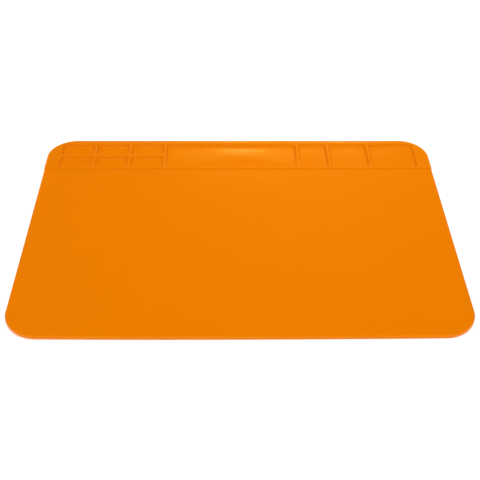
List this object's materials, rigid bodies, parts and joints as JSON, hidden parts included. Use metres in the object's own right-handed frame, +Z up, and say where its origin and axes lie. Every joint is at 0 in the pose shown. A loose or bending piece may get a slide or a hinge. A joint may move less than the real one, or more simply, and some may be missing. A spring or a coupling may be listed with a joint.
{
  "type": "parts sorting mat",
  "caption": "Flat flexible silicone work mat with round corners and a raised strip of shallow sorting bins moulded along its rear edge.",
  "frame": {"origin": "centre of the flat underside, on the surface the mat lies on", "axes": "+X to the right along the strip of bins, +Y from the front edge towards the bins, +Z up out of the work surface"},
  "size_m": [0.28, 0.2, 0.0036],
  "materials": {
    "silicone": "satin"
  },
  "bodies": {
    "root": {"work_panel": "silicone", "tray_floor": "silicone", "tray_rear_rim": "silicone", "tray_front_kerb": "silicone", "tray_left_end": "silicone", "tray_right_end": "silicone", "bin_divider_1": "silicone", "bin_divider_2": "silicone", "bin_divider_3": "silicone", "bin_divider_4": "silicone", "bin_divider_5": "silicone", "bin_divider_6": "silicone", "cross_rib_1": "silicone", "cross_rib_2": "silicone", "cross_rib_3": "silicone"}
  },
  "joints": []
}
